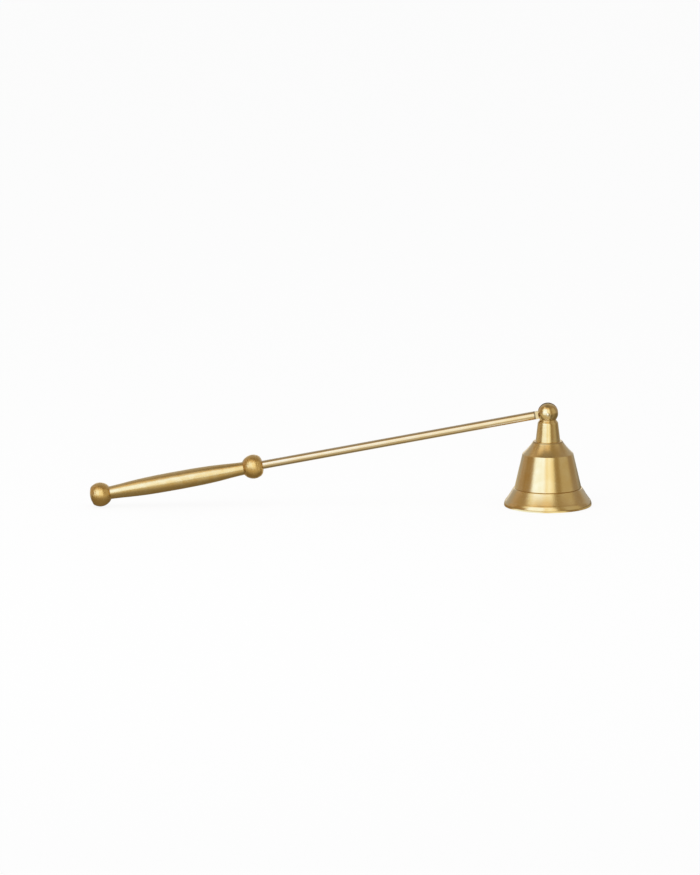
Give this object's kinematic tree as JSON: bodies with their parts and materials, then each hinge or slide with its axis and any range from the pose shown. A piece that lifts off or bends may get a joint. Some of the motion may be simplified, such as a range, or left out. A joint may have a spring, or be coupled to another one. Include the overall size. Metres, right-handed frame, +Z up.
{
  "type": "candle snuffer",
  "caption": "Turned brass candle snuffer: a slim knobbed handle with a small bell hinged in a slotted ball at its tip, lowered over a flame to smother it.",
  "frame": {"origin": "centre of the bell's mouth, on the surface that the snuffer rests on", "axes": "+Z up along the bell's axis, -X from the bell towards the handle's end knob, +Y along the hinge pin"},
  "size_m": [0.2847, 0.0498, 0.0589],
  "materials": {
    "bell_brass": "satin, with fine turning lines round the bell",
    "head_brass": "satin, with fine turning lines",
    "knob_brass": "brushed, with coarser turning lines",
    "grip_brass": "soft satin, slightly mottled",
    "rod_brass": "drawn rod, paler and smoother",
    "pin_brass": "polished, domed by peening",
    "fastener_brass": "plain machined",
    "stud_steel": "plain threaded rod"
  },
  "bodies": {
    "handle": {"rod": "rod_brass", "collar_knob": "knob_brass", "grip": "grip_brass", "knob_stud": "stud_steel", "end_knob": "knob_brass"},
    "snuffer_bell": {"hinge_head": "head_brass", "hinge_pin": "pin_brass", "bell": "bell_brass", "bell_washer": "fastener_brass", "bell_screw": "fastener_brass"}
  },
  "joints": [
    {"name": "bell_tilt", "type": "hinge", "parent": "handle", "child": "snuffer_bell", "pos_m": [0, 0, 0.05314], "axis": [0, 1, 0], "range_deg": [-209, 9]}
  ]
}
